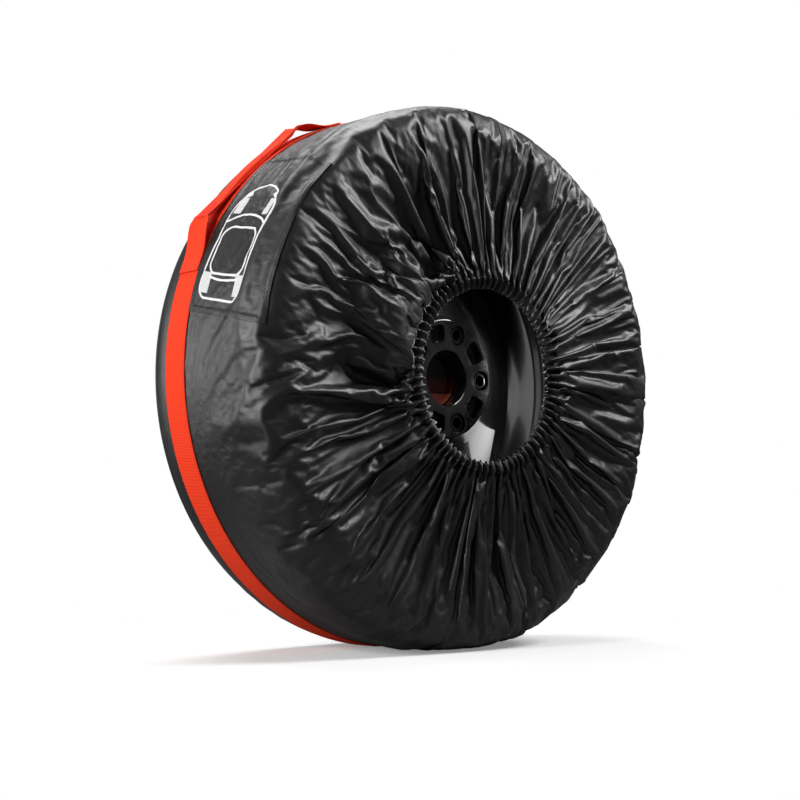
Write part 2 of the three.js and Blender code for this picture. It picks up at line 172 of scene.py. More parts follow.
def pale_paper():
    """Pale to the camera and darker to the lights, and gone beyond the shadow round the wheel."""
    pale, dim = (0.9, 0.9, 0.9), (0.25, 0.25, 0.25)
    fade_start, fade_end = 0.3, 0.62
    paper = Finish("pale_paper", pale, Roughness=0.8, Emission_Strength=0.22)
    seen = paper.node("LightPath", {}, output="Is Camera Ray")
    paper.feed("Base Color", paper.between(seen, dim, pale))
    paper.feed("Emission Color", paper.between(seen, (0, 0, 0), (1, 1, 1)))
    place = paper.coordinates("Object")
    away = paper.node("VectorMath", {"operation": "LENGTH"}, place, output="Value")
    paper.feed("Alpha", paper.node("MapRange", {}, away, fade_start, fade_end, 1.0, 0.0))
    return paper


bpy.ops.mesh.primitive_circle_add(vertices=96, radius=9, fill_type="NGON", location=(0, 0, -0.0004))
floor = bpy.context.object
floor.name = "studio_floor"
floor.data.materials.append(pale_paper().material)

surround = bpy.data.worlds.new("white_surround")
surround.use_nodes = True
sky = surround.node_tree
plain_light = sky.nodes["Background"]
seen_light = sky.nodes.new("ShaderNodeBackground")
for light, strength in ((plain_light, 0.1), (seen_light, 1.0)):
    light.inputs["Color"].default_value = (1, 1, 1, 1)
    light.inputs["Strength"].default_value = strength
chooser = sky.nodes.new("ShaderNodeMixShader")
ray_kind = sky.nodes.new("ShaderNodeLightPath")
sky.links.new(ray_kind.outputs["Is Camera Ray"], chooser.inputs[0])
sky.links.new(plain_light.outputs[0], chooser.inputs[1])
sky.links.new(seen_light.outputs[0], chooser.inputs[2])
sky.links.new(chooser.outputs[0], sky.nodes["World Output"].inputs[0])
bpy.context.scene.world = surround


def softbox(place, width, height, power, target=axle):
    """A rectangular area light that points at its target and isn't seen by the camera."""
    bpy.ops.object.light_add(type="AREA", location=place)
    light = bpy.context.object
    set_all(light.data, shape="RECTANGLE", size=width, size_y=height, energy=power)
    light.rotation_euler = (Vector(target) - Vector(place)).to_track_quat("-Z", "Y").to_euler()
    light.visible_camera = False


# Four softboxes stand round the wheel, and three small ones light the hub inside it.
softbox((1.5, -1.1, 1.9), 0.9, 0.9, 50)
softbox((0.1, 0.9, 2.3), 1.8, 0.9, 36)
softbox((-2.0, -0.2, 0.7), 0.4, 1.2, 30)
softbox((-1.5, 1.5, 0.6), 0.8, 1.0, 12)
softbox((0.15, -0.06, 0.36), 0.07, 0.1, 0.3, target=(0, 0.03, 0.2))
softbox((0.0, -0.075, 0.445), 0.12, 0.03, 0.12, target=(-0.01, -0.05, 0.33))
softbox((0.165, 0.014, 0.245), 0.075, 0.06, 0.018, target=(0.08, -0.008, 0.252))

# ---------------------------------------------------------------- tyre
# A radial tyre with three grooves round its tread, turned as one closed outline about the axle.
# It is pressed flat where it stands, and is wholly inside the cover.
strap_low, strap_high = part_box("perimeter_strap")
cover_radius = (strap_high.x - strap_low.x) / 2
WELD = 1e-6  # points nearer than this are one point


def at_axle(radius, along, turn=0.0):
    """A place in the frame from a radius and a distance along the axle, both in metres."""
    return (radius * np.cos(turn), axle.y + along, axle.z + radius * np.sin(turn))


def swept(radius, along, angles):
    """A grid of points from radii, distances along the axle and angles round it."""
    return np.stack(np.broadcast_arrays(*at_axle(radius, along, angles)), -1)


def pressed(points):
    """Lifts what would sink into the floor, so that the outside of the cover is flat on it."""
    points = np.array(points, float)
    radius = np.hypot(points[..., 0], points[..., 2] - axle.z)
    points[..., 2] = np.maximum(points[..., 2], cover_radius - radius)
    return points


def vertices_of(piece):
    flat = np.empty(len(piece.data.vertices) * 3)
    piece.data.vertices.foreach_get("co", flat)
    return flat.reshape(-1, 3)


def press(piece):
    """Presses a piece flat where it stands."""
    piece.data.vertices.foreach_set("co", pressed(vertices_of(piece)).ravel())
    piece.data.update()


def meshed(name, points, edges, faces):
    """A new piece from its points, edges and faces."""
    mesh = bpy.data.meshes.new(name)
    mesh.from_pydata(points, edges, faces)
    piece = bpy.data.objects.new(name, mesh)
    bpy.context.collection.objects.link(piece)
    return piece


def only(*pieces):
    """Selects these pieces alone, and makes the first one active."""
    bpy.ops.object.select_all(action="DESELECT")
    for piece in pieces:
        piece.select_set(True)
    bpy.context.view_layer.objects.active = pieces[0]


def mended(piece, weld=False, outward=True, closed=True):
    """Welds a mesh's doubled points, closes its open ends and turns its faces outwards."""
    only(piece)
    bpy.ops.object.mode_set(mode="EDIT")
    bpy.ops.mesh.select_all(action="SELECT")
    if weld:
        bpy.ops.mesh.remove_doubles(threshold=WELD)
    if not closed:
        bpy.ops.mesh.select_all(action="DESELECT")
        bpy.ops.mesh.select_non_manifold(extend=False)
        bpy.ops.mesh.fill()
        bpy.ops.mesh.select_all(action="SELECT")
    if outward:
        bpy.ops.mesh.normals_make_consistent(inside=False)
    bpy.ops.object.mode_set(mode="OBJECT")
    return piece


def turned(name, outline, steps=192, closed=True):
    """An outline of (radius, along) points in millimetres, turned about the axle by the spin tool."""
    ends = len(outline) if closed else len(outline) - 1
    edges = [(i, (i + 1) % len(outline)) for i in range(ends)]
    piece = meshed(name, [at_axle(r / 1000, y / 1000) for r, y in outline], edges, [])
    only(piece)
    bpy.ops.object.mode_set(mode="EDIT")
    bpy.ops.mesh.select_all(action="SELECT")
    bpy.ops.mesh.spin(steps=steps, angle=math.tau, center=axle, axis=(0, 1, 0))
    bpy.ops.object.mode_set(mode="OBJECT")
    return mended(piece, weld=True)


def modified(piece, kind, **settings):
    """Adds a modifier with its settings, and applies it."""
    only(piece)
    modifier = piece.modifiers.new(kind.title(), kind)
    set_all(modifier, **settings)
    bpy.ops.object.modifier_apply(modifier=modifier.name)


def dressed(piece, finish, slot, *nodes, smooth=35):
    """Gives a piece its finish, shades it smooth and hides the CAD nodes that it stands for. The slot is
    not used.
    """
    only(piece)
    bpy.ops.object.shade_smooth_by_angle(angle=math.radians(smooth))
    piece.data.materials.clear()
    piece.data.materials.append(finish.material)
    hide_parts(*nodes)


def finished(piece, finish, slot, body, *nodes, smooth=35):
    """Dresses a piece and puts it on its body."""
    dressed(piece, finish, slot, *nodes, smooth=smooth)
    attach(piece, body)


def grained(name, colour, scale, rough, spread, strength, depth, detail=2, **sockets):
    """A finish with a fine grain, which varies its roughness and raises its surface."""
    finish = Finish(name, colour, **sockets)
    grain = finish.noise(scale, detail)
    finish.feed("Roughness", rough + spread * grain)
    finish.bump(grain, strength, depth)
    return finish


def groove(middle):
    """The outline of one tread groove, in millimetres."""
    crown, floor, half_top, half_floor = 328.4, 321.4, 4.5, 3.5
    low = [(crown, middle - half_top), (floor, middle - half_floor)]
    return low + [(floor, middle + half_floor), (crown, middle + half_top)]


tyre_side = [(327.2, 74), (324.5, 83), (319, 91), (312, 99), (298, 107.5), (275, 112.5), (252, 109.5)]
tyre_side += [(238, 104.5), (230, 97.8), (220, 96.8), (217, 94), (216.9, 79), (230, 88), (250, 97)]
tyre_side += [(272, 101), (292, 97), (307, 87), (314, 72), (316, 50)]
tyre_outline = groove(-40) + groove(0) + groove(40) + tyre_side
tyre_outline += [(r, -y) for r, y in reversed(tyre_side)]
tyre = turned("tyre_with_tread", tyre_outline)
press(tyre)
dark = (0.021, 0.021, 0.022)
rubber = grained("tyre_rubber", dark, 900, 0.7, 0.2, 0.4, 0.0003, 3, Specular_IOR_Level=0.35)
finished(tyre, rubber, "tyre_rubber", "root", "tyre")

# ---------------------------------------------------------------- rim barrel
# A cast and flow-formed aluminium barrel in gloss black. The well steps in behind the bead seats, and
# the lip of the wheel's centre shows as a fine line inside it.
coat = {"Coat_Weight": 1.0, "Coat_Roughness": 0.06, "Specular_IOR_Level": 0.6}
paint = Finish("gloss_black_paint", (0.0035, 0.0035, 0.004), **coat)
orange_peel = paint.noise(260, 2)
dust = paint.noise(38, 5)
paint.feed("Roughness", 0.14 + 0.16 * dust)
paint.feed("Base Color", paint.between(dust**3, (0.003, 0.003, 0.0035), (0.02, 0.019, 0.018)))
paint.bump(orange_peel, 0.12, 0.0004)

barrel_outline = [(230.5, -107), (232.4, -106.2), (233, -104), (232.6, -100.6), (230.6, -99.4)]
barrel_outline += [(219, -98), (216.6, -96.6), (215.9, -94), (215.6, -76), (212.9, -42), (209, -34)]
barrel_outline += [(203.6, -25), (203, -20), (203, 34), (204.5, 40), (212.9, 52), (215.9, 94)]
barrel_outline += [(216.6, 96.6), (219, 98), (230.6, 99.4), (232.6, 100.6), (233, 104), (232.4, 106.2)]
barrel_outline += [(230.5, 107), (224, 105.8), (213, 99), (208.9, 94), (206.9, 54), (200, 47), (196, 43)]
barrel_outline += [(196, -17), (196.6, -19.6), (203.4, -28), (204.9, -32), (208.9, -92), (212, -98.4)]
barrel_outline += [(222, -105.4)]
barrel = turned("rim_barrel_turned", barrel_outline, 256)
sharp = {"limit_method": "ANGLE", "angle_limit": math.radians(28)}
modified(barrel, "BEVEL", width=0.0006, segments=2, **sharp)
finished(barrel, paint, "gloss_black_alloy", "root", "rim_barrel")

# ---------------------------------------------------------------- wheel centre
# The dished centre of the wheel, with its hub. The mounting pad has a bore, five bolt holes, each in a
# sunk ring, and five shallow pockets between them. The holes are cut from the turned blank.
pad_y = (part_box("wheel_centre")[0].y - axle.y) * 1000
centre_outline = [(35.2, pad_y), (72, pad_y), (73, pad_y + 1), (74.5, pad_y + 17), (77, pad_y + 22)]
centre_outline += [(84, pad_y + 27), (96, pad_y + 33), (112, pad_y + 42.5), (140, 2.5), (160, 16)]
centre_outline += [(176, 25.5), (186, 29.6), (195.7, 31), (195.7, 46), (188, 45.6), (180, 42.6)]
centre_outline += [(160, 31), (134, 14), (108, -4), (90, -14), (76, -19.4), (62, -22), (33.55, -22)]
centre_outline += [(33.55, pad_y + 1.8)]
centre = turned("wheel_centre_cast", centre_outline, 240)


BOLTS = 5
bolt_radius = 0.05715


def joined(pieces, name):
    only(*pieces)
    bpy.ops.object.join()
    pieces[0].name = name
    return pieces[0]


def bolt_circle(make, first=0.0):
    """Joins one solid at each of the five stations round the hub into one cutter."""
    made = []
    for turn in first + np.arange(BOLTS) * math.tau / BOLTS:
        make(Vector(at_axle(bolt_radius, 0, turn)), turn)
        made.append(bpy.context.object)
    return joined(made, "cutter")


def drill(radius, from_y, to_y, end_radius=None):
    """Makes a cone or cylinder along the axle between two depths, in millimetres."""

    def make(place, turn):
        place.y = axle.y + (from_y + to_y) / 2000
        ends = {"radius1": radius / 1000, "radius2": (end_radius or radius) / 1000}
        ends["depth"] = (to_y - from_y) / 1000
        lying = (-math.pi / 2, 0, 0)
        bpy.ops.mesh.primitive_cone_add(vertices=40, location=place, rotation=lying, **ends)
        bpy.ops.object.transform_apply(location=True, rotation=True, scale=True)

    return make


def pocket(place, turn):
    """A curved pocket with rounded ends: a disc stretched along the bolt circle, then pushed in."""
    inner, outer, half_angle, depth, clear = 0.0455, 0.0672, math.radians(13.5), 0.013, 0.004
    rim = []
    for around in np.arange(48) / 48 * math.tau:
        across = math.copysign(abs(math.cos(around)) ** 0.45, math.cos(around))
        along = math.copysign(abs(math.sin(around)) ** 0.45, math.sin(around))
        radius = (inner + outer) / 2 + (outer - inner) / 2 * across
        rim.append(at_axle(radius, pad_y / 1000 - clear, turn + half_angle * along))
    made = meshed("pocket", rim, [], [tuple(range(len(rim)))])
    only(made)
    bpy.ops.object.mode_set(mode="EDIT")
    bpy.ops.mesh.select_all(action="SELECT")
    bpy.ops.mesh.extrude_region_move(TRANSFORM_OT_translate={"value": (0, depth + clear, 0)})
    bpy.ops.object.mode_set(mode="OBJECT")
    mended(made)


def cut(piece, cutter, operation="DIFFERENCE"):
    modified(piece, "BOOLEAN", object=cutter, operation=operation, solver="EXACT")
    bpy.data.objects.remove(cutter)


cut(centre, bolt_circle(drill(12.4, pad_y - 4, pad_y + 7)))
cut(centre, bolt_circle(drill(9.4, pad_y + 2, pad_y + 8)), "UNION")
cut(centre, bolt_circle(drill(7.2, pad_y - 4, -10)))
cut(centre, bolt_circle(drill(7.2, -33, -25, end_radius=13)))
cut(centre, bolt_circle(drill(13, -25.01, -8)))
cut(centre, bolt_circle(pocket, first=math.pi / 5))
sharp["angle_limit"] = math.radians(30)
modified(centre, "BEVEL", width=0.0007, segments=3, **sharp)
finished(centre, paint, "gloss_black_alloy", "root", "wheel_centre")

# ---------------------------------------------------------------- centre cap and valve
# A red-brown moulded cap clipped in the outboard end of the bore, black above with painted shade and with a
# painted highlight low down, and a rubber snap-in valve with its brass core and plastic cap.


def moulded(name, colour, roughness):
    return grained(name, colour, 700, roughness, 0.12, 0.25, 0.0002)


cap_outline = [(0, -23), (29, -23), (30.1, -23.6), (30.1, -35), (32.6, -35), (32.7, -31), (31.6, -29)]
cap_outline += [(31.6, -22.4), (36.4, -21.7), (36.6, -20.6), (34.5, -19.2), (20, -17.6), (0, -17)]
cap = turned("centre_cap_moulded", cap_outline, 96, closed=False)


def cap_with_painted_light_and_shade():
    """Painted shade and light: black above, where the cap's top is in shade, red-brown under it, a lighter
    painted highlight lower down where the lower wall catches the light, and a dark line between them.
    """
    plastic = moulded("cap_plastic", (0.1, 0.02, 0.012), 0.3)
    height = plastic.node("SeparateXYZ", {}, plastic.coordinates("Object"), output="Z")
    below = plastic.node("MapRange", {}, height, axle.z + 0.006, axle.z - 0.003, 0.0, 1.0)
    lower = plastic.node("MapRange", {}, height, axle.z - 0.0135, axle.z - 0.0165, 0.0, 1.0)
    line = 1 - 3.6 * lower * (1 - lower)
    # Painted shade: the cap is painted black above the axle, for the shade on the top of the bore.
    dark = plastic.between(below, (0.002, 0.002, 0.002), (0.12, 0.02, 0.012))
    # Painted highlight: a lighter red-brown band low down, where the lower wall is lit from above.
    light = plastic.between(lower, (0, 0, 0), (0.55, 0.15, 0.09))
    both = plastic.node("VectorMath", {"operation": "ADD"}, dark, light, output="Vector")
    lined = plastic.node("VectorMath", {"operation": "SCALE"}, both, Scale=line, output="Vector")
    plastic.feed("Base Color", lined)
    return plastic


finished(cap, cap_with_painted_light_and_shade(), "cap_plastic", "centre_cap", "centre_cap")


def refinish(node, finish):
    """A CAD node whose shape is right keeps it, and takes a better finish."""
    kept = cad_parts[node]
    kept.data.materials.clear()
    kept.data.materials.append(finish.material)


brass = Finish("valve_brass", (0.55, 0.4, 0.16), Metallic=1.0)
brass.feed("Roughness", 0.25 + 0.2 * brass.noise(2400, 2))
refinish("valve_stem", rubber)
refinish("valve_core", brass)
refinish("valve_cap", moulded("valve_cap_plastic", (0.012, 0.012, 0.012), 0.4))

# ---------------------------------------------------------------- front panel
# Coated black polyester, cut as a wide strip, sewn to the webbing band and gathered on the elastic. It
# is set up as an open tube in front of the tyre, and the hem is drawn in round the shoulder while the
# cloth is simulated against the tyre and the floor, so that the gathers form as they do when it is worn.
COLUMNS = 504  # round the tyre
ROWS = 60  # from the band to the hem
cloth_width = 0.351
cloth_start = 0.030  # the strip's sewn edge, under the band
cloth_radius = 0.3308
tread_length = 0.110
hem_radius = 0.1165
hem_along = -0.1265
pleats = 72
upper_seam = 82.5
lower_seam = 285.0

turn = np.arange(COLUMNS) / COLUMNS * math.tau
down = np.linspace(0, cloth_width, ROWS)
FOLDS = 14
fold_size = 0.013
plain_middle = 152  # the angle of the plain, smoother part that carries the patch
steps = np.random.default_rng(7)


def near(degrees, middle, reach):
    """1 near an angle round the tyre, falling to 0 beyond its reach."""
    away = (degrees - middle + 180) % 360 - 180
    return np.exp(-((away / reach) ** 4))


def ease(value, low, high):
    """0 below low and 1 above high, with a smooth rise between them."""
    share = np.clip((value - low) / (high - low), 0, 1)
    return share * share * (3 - 2 * share)


def tube(radius, along):
    """The grid of the strip as a tube about the axle: a radius and a distance along for each point."""
    return swept(radius, along, turn[:, None])


def round_again(values, period=0.0):
    """Values round the tyre with the first one once more at the end."""
    return np.append(values, values[0] + period)


# The strip is cut narrower at the hem where the patch is, and fuller elsewhere.
plain_side = near(np.degrees(turn), plain_middle, 40)
plainer = near(np.degrees(turn), plain_middle, 55)[:, None]
past_tread = np.clip((down - tread_length) / (cloth_width - tread_length), 0, 1)
cut_radius = cloth_radius * (1 - (0.08 + 0.34 * plain_side)[:, None] * past_tread)
fullness = 1 + (0.12 - 0.10 * plainer) * ease(down, 0.03, 0.12)
cut_length = down * (1 - 0.034 * plain_side)[:, None]
cut_strip = tube(cut_radius * fullness, cloth_start - cut_length)

# The folds start from small corrugations that run from the band to the hem.
fold_phase = FOLDS * turn + 1.6 * np.sin(2 * turn + 0.3) + 1.3 * np.sin(5 * turn + 1)
fold_phase += 0.8 * np.sin(9 * turn + 2.2)
fold_height = fold_size * (1 - 0.8 * near(np.degrees(turn), 125, 75)) * (1 + 0.4 * np.sin(4 * turn + 1))
folds = np.maximum(fold_height * (2 * np.abs(np.sin(fold_phase / 2)) - 1.2), 0)
ripples = steps.normal(size=144)
ripple = 0.0006 * np.interp(turn, np.linspace(0, math.tau, 145), round_again(ripples))
set_up = tube(cut_radius + (folds + ripple)[:, None] * ease(down, 0.02, 0.1), cloth_start - down)
set_up[..., 2] = np.maximum(set_up[..., 2], 0.0012)

# Each gather's depth takes up the spare length of the cut's edge on the shorter elastic.
pleat_phase = pleats * turn + 1.1 * np.sin(3 * turn + 0.4) + 0.9 * np.sin(7 * turn + 2)
pleat_phase += 0.6 * np.sin(11 * turn)
cut_edge = np.linalg.norm(np.roll(cut_strip[:, -1], -1, 0) - cut_strip[:, -1], axis=1)
spare = cut_edge / (math.tau * hem_radius / COLUMNS)
pleat_depth = math.tau * hem_radius / pleats * np.sqrt(np.maximum(spare**2 - 1, 0)) / 4
pleat_depth *= 0.98 * (1 + 0.18 * np.sin(5 * turn + 1) + 0.12 * np.sin(13 * turn))
pleat_wave = pleat_depth * np.sin(pleat_phase)


def drawn(swing=None, share=1.0):
    """The strip with its two hem rows partly drawn in, or right in on the elastic."""
    rows = set_up.copy()
    for row, short in ((ROWS - 1, 0.0), (ROWS - 2, down[1])):
        if swing is None:
            radius = hem_radius + (0.0015 * np.cos(pleat_phase) if short == 0 else 0.0035)
            along = hem_along + pleat_wave
        else:
            free = cloth_width - tread_length - short
            radius = np.minimum(cloth_radius - 0.004 - free * math.sin(swing), cut_radius[:, row])
            along = cloth_start - tread_length - free * math.cos(swing) + pleat_wave * share
        rows[:, row] = swept(radius, along, turn)
    return rows


def grid_faces(columns, rows, round_closed=True):
    """Quads over a grid of points, facing outwards where columns run with the turn and rows to the hem."""
    first = np.arange(columns if round_closed else columns - 1)[:, None]
    level = np.arange(rows - 1)[None, :]
    here = first * rows + level
    beside = (first + 1) % columns * rows + level
    return np.stack([here, beside, beside + 1, here + 1], -1).reshape(-1, 4)


def grid_piece(name, points, round_closed=True, metres=None):
    """A mesh over a grid of points. metres gives each point's place on the flat cloth, for its weave."""
    columns, rows = points.shape[:2]
    faces = grid_faces(columns, rows, round_closed)
    piece = meshed(name, points.reshape(-1, 3).tolist(), [], faces.tolist())
    if metres is not None:
        corners = metres.reshape(-1, 2)[faces.ravel()]
        if round_closed:
            wide = corners.reshape(-1, 4, 2)
            span = metres[..., 0].max() + metres[1, 0, 0] - metres[0, 0, 0]
            wide[..., 0] += span * ((wide[:, :1, 0] > span / 2) & (wide[..., 0] < span / 4))
            corners = wide.reshape(-1, 2)
        layer = piece.data.uv_layers.new(name="cloth")
        layer.data.foreach_set("uv", corners.astype(np.float32).ravel())
    return piece


def collider(piece, gap, friction=8):
    """Makes the cloth rest on a piece, with a gap in metres."""
    piece.modifiers.new("Collision", "COLLISION")
    piece.collision.thickness_outer = gap
    piece.collision.cloth_friction = friction


def gathered():
    """Draws the hem in over the tyre, lets the cloth settle, and returns its grid of points."""
    former_outline = [(205, -94), (233, -105.5), (252, -109.5), (275, -112.5), (296, -109), (312, -101)]
    former_outline += [(321.4, -89), (327.2, -76), (328.0, -60), (328.0, 45)]
    former_radius, former_along = np.array(former_outline[::-1]).T / 1000
    around = np.arange(128)[:, None] / 128 * math.tau
    former = grid_piece("former", pressed(swept(former_radius, former_along, around)))
    collider(former, 0.0015)
    bpy.ops.mesh.primitive_plane_add(size=2, location=(0, 0, 0))
    ground = bpy.context.object
    collider(ground, 0.001)

    strip = grid_piece("strip", set_up)
    index = np.arange(COLUMNS * ROWS).reshape(COLUMNS, ROWS)
    held = strip.vertex_groups.new(name="sewn")
    held.add(index[:, [0, -2, -1]].ravel().tolist(), 1.0, "REPLACE")
    strip.shape_key_add(name="set_up")

    def keyed(name, points):
        key = strip.shape_key_add(name=name)
        key.data.foreach_set("co", points.astype(np.float32).ravel())
        key.value = 0
        return key

    frames = 40
    swings = ((22, 0.15), (42, 0.4), (58, 0.7), (68, 0.9))
    stages = [drawn(math.radians(degrees), share) for degrees, share in swings] + [drawn()]
    moments = [1] + [round(1 + frames * share) for share in (0.18, 0.36, 0.52, 0.62, 0.74)]
    cut_key = keyed("cut", cut_strip)
    for number, points in enumerate(stages):
        key = keyed(f"drawn_{number}", points)
        key.keyframe_insert("value", frame=moments[number])
        key.value = 1
        key.keyframe_insert("value", frame=moments[number + 1])
        if number + 1 < len(stages):
            key.value = 0
            key.keyframe_insert("value", frame=moments[number + 2])
    for curve in strip.data.shape_keys.animation_data.action.fcurves:
        for point in curve.keyframe_points:
            point.interpolation = "LINEAR"

    cloth = strip.modifiers.new("Cloth", "CLOTH")
    use = cloth.settings
    set_all(use, rest_shape_key=cut_key, vertex_group_mass="sewn", quality=5, mass=0.00006, air_damping=2)
    set_all(use, tension_stiffness=18, compression_stiffness=12, shear_stiffness=4, bending_stiffness=1.6)
    set_all(use, tension_damping=12, compression_damping=12, shear_damping=6, bending_damping=1)
    use.effector_weights.gravity = 0.5
    set_all(cloth.collision_settings, distance_min=0.001, collision_quality=2)
    set_all(cloth.point_cache, frame_start=1, frame_end=frames)
    for moment in range(1, frames + 1):
        bpy.context.scene.frame_set(moment)
    only(strip)
    bpy.ops.object.convert(target="MESH")
    settled = vertices_of(strip).reshape(COLUMNS, ROWS, 3)
    for used in (strip, former, ground):
        bpy.data.objects.remove(used)
    bpy.context.scene.frame_set(1)
    return settled


def lengths(points):
    """The distance of each point from the first one, along the line through them."""
    return np.append(0, np.cumsum(np.linalg.norm(np.diff(points, axis=0), axis=1)))


settled = gathered()
off_floor = 0.0008
bulge_limit = 0.0125  # how far a fold may stand out beyond the hem
settled[..., 2] = np.maximum(settled[..., 2], off_floor)
bulge = np.maximum(hem_along - 0.002 - (settled[..., 1] - axle.y), 0)
settled[..., 1] += bulge - bulge_limit * np.tanh(bulge / bulge_limit)


def catmull(four, t):
    """A smooth curve through four points in a row, at t from the second to the third."""
    p0, p1, p2, p3 = four
    cubic = (3 * (p1 - p2) + p3 - p0) * t**3 + (2 * p0 - 5 * p1 + 4 * p2 - p3) * t**2
    return p1 + 0.5 * (cubic + (p2 - p0) * t)


def unit(vectors):
    return vectors / np.linalg.norm(vectors, axis=1)[:, None]


def on_cloth(degrees, depth, lift=0.0):
    """Points on the settled front, at angles round the tyre and distances down the cloth in metres."""
    degrees, depth = np.broadcast_arrays(np.asarray(degrees, float), np.asarray(depth, float))
    column = degrees.ravel() / 360 * COLUMNS
    row = depth.ravel() / cloth_width * (ROWS - 1)

    def at(column, row):
        base = np.floor(column).astype(int)
        t = (column - base)[:, None]
        strips = [settled[(base + k) % COLUMNS] for k in (-1, 0, 1, 2)]
        low = np.clip(np.floor(row).astype(int), 0, ROWS - 2)
        share = (row - low)[:, None]
        picked = []
        for strip in strips:
            rows = [strip[np.arange(len(row)), np.clip(low + k, 0, ROWS - 1)] for k in (-1, 0, 1, 2)]
            picked.append(catmull(rows, share))
        return catmull(picked, t)

    here = at(column, row)
    if np.any(lift):
        across = at(column + 0.5, row) - at(column - 0.5, row)
        along = at(column, np.minimum(row + 0.5, ROWS - 1)) - at(column, np.maximum(row - 0.5, 0))
        normal = unit(np.cross(across, along))
        here = here + normal * np.broadcast_to(lift, degrees.shape).reshape(-1, 1)
    return here.reshape(degrees.shape + (3,))


def coated_nylon(name="coated_polyester", roughness=0.33):
    """Tightly woven black cloth with a glossy coating, crinkled along its folds."""
    cloth = Finish(name, (0.006, 0.006, 0.0068), Specular_IOR_Level=0.68)
    crinkle = cloth.noise(95, 4, "UV", (1, 0.35, 1))
    creases = cloth.noise(330, 3, "UV", (1, 0.5, 1))
    weave = cloth.ribs(1500, "X") * cloth.ribs(1500, "Y")
    patchy = cloth.noise(11, 3)
    cloth.feed("Roughness", roughness + 0.12 * patchy + 0.08 * crinkle)
    cloth.feed("Base Color", cloth.between(patchy, (0.005, 0.005, 0.0056), (0.0085, 0.0085, 0.0095)))
    cloth.bump(crinkle + 0.3 * creases + 0.08 * weave, 0.5, 0.0011)
    return cloth


nylon = coated_nylon()
around_length = math.tau * cloth_radius
for side, start, end in (("right", lower_seam - 360, upper_seam), ("left", upper_seam, lower_seam)):
    angles = np.linspace(start, end, round((end - start) / 360 * COLUMNS * 2) + 1)
    depths = np.linspace(0, cloth_width, ROWS * 2 - 1)
    degrees, depth = np.meshgrid(angles, depths, indexing="ij")
    metres = np.stack([degrees / 360 * around_length, depth], -1)
    panel = grid_piece(f"front_panel_{side}_gathered", on_cloth(degrees, depth), False, metres)
    finished(panel, nylon, "black_polyester", "root", f"front_panel_{side}", smooth=180)

# ---------------------------------------------------------------- hem casing and elastic
# The hem is folded over a flat elastic and gathers tightly on it. Its tube follows the pleats of the
# cloth, fully on its outside and less on the mouth's edge, where the elastic pulls it straight.
hem_inner = -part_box("front_hem")[0].x - 0.014
fine = np.arange(COLUMNS * 2) / (COLUMNS * 2) * math.tau
full_turn = np.append(turn, math.tau)
fine_wave = np.interp(fine, full_turn, round_again(pleat_wave))
fine_phase = np.interp(fine, full_turn, round_again(pleat_phase, pleats * math.tau))


def ruffle(name, middle, half_depth, half_thick, follow_out, follow_in, sides=20, squareness=0.8):
    """A tube round the mouth whose section is displaced along the axle with the pleats."""
    around = np.arange(sides) / sides * math.tau
    across = np.sign(np.cos(around)) * np.abs(np.cos(around)) ** squareness
    along = np.sign(np.sin(around)) * np.abs(np.sin(around)) ** squareness
    follow = follow_in + (follow_out - follow_in) * (across + 1) / 2
    inward = (1 - across) / 2
    pinch = 1 + 0.16 * np.cos(fine_phase)[:, None] * inward
    radius = middle + half_depth * across * pinch + 0.0011 * np.sin(2.3 * fine_phase)[:, None] * inward
    depth = hem_along + fine_wave[:, None] * follow + half_thick * along
    points = swept(radius, depth, fine[:, None])
    points = np.concatenate([points, points[:, :1]], 1)
    flat_around, flat_across = fine[:, None] * 0.33, np.linspace(0, 0.03, sides + 1)
    metres = np.stack(np.broadcast_arrays(flat_around, flat_across), -1)
    return mended(grid_piece(name, points, True, metres), weld=True)


casing = ruffle("hem_casing", hem_inner + 0.007, 0.0068, 0.0031, 1.0, 0.42)
finished(casing, nylon, "black_polyester", "root", "front_hem", smooth=180)

woven_elastic = Finish("woven_elastic", (0.03, 0.03, 0.034), Roughness=0.8)
woven_elastic.bump(woven_elastic.ribs(900, "X"), 0.6, 0.0004)
elastic = ruffle("elastic_band", hem_inner + 0.0068, 0.0042, 0.0011, 0.75, 0.5, 12, 0.5)
finished(elastic, woven_elastic, "elastic", "root", "front_elastic", smooth=60)

# ---------------------------------------------------------------- back of the cover
# A gusset runs from the band over the rear shoulder to a piped seam, and a round of the same cloth
# closes the back. The cloth puckers a little at the seam and is drawn tight over the rim.


def seam_puckers(angles, count, seed):
    """Uneven small waves round the seam, between -1 and 1."""
    draw = np.random.default_rng(seed)
    wave = 0 * angles
    for harmonic in draw.integers(count // 2, count, 7):
        wave = wave + np.sin(harmonic * angles + draw.uniform(0, math.tau))
    return wave / 4


def lathe_cloth(name, outline, columns, seed, pucker, sag, flat_back=False):
    """Cloth over an outline of (radius, along) points in metres, puckered towards its seam."""
    outline = np.array(outline)
    angles = np.arange(columns)[:, None] / columns * math.tau
    slope = np.gradient(outline, axis=0)
    normal = unit(np.stack([-slope[:, 1], slope[:, 0]], -1))
    height = seam_puckers(angles, 90, seed) * pucker + seam_puckers(angles, 14, seed + 1) * sag
    radius = outline[:, 0] + height * normal[:, 0]
    points = pressed(swept(radius, outline[:, 1] + height * normal[:, 1], angles))
    metres = np.stack(np.broadcast_arrays(angles * cover_radius, lengths(outline)), -1)
    if flat_back:
        metres = points[..., ::2]
    return grid_piece(name, points[:, ::-1], True, metres[:, ::-1])


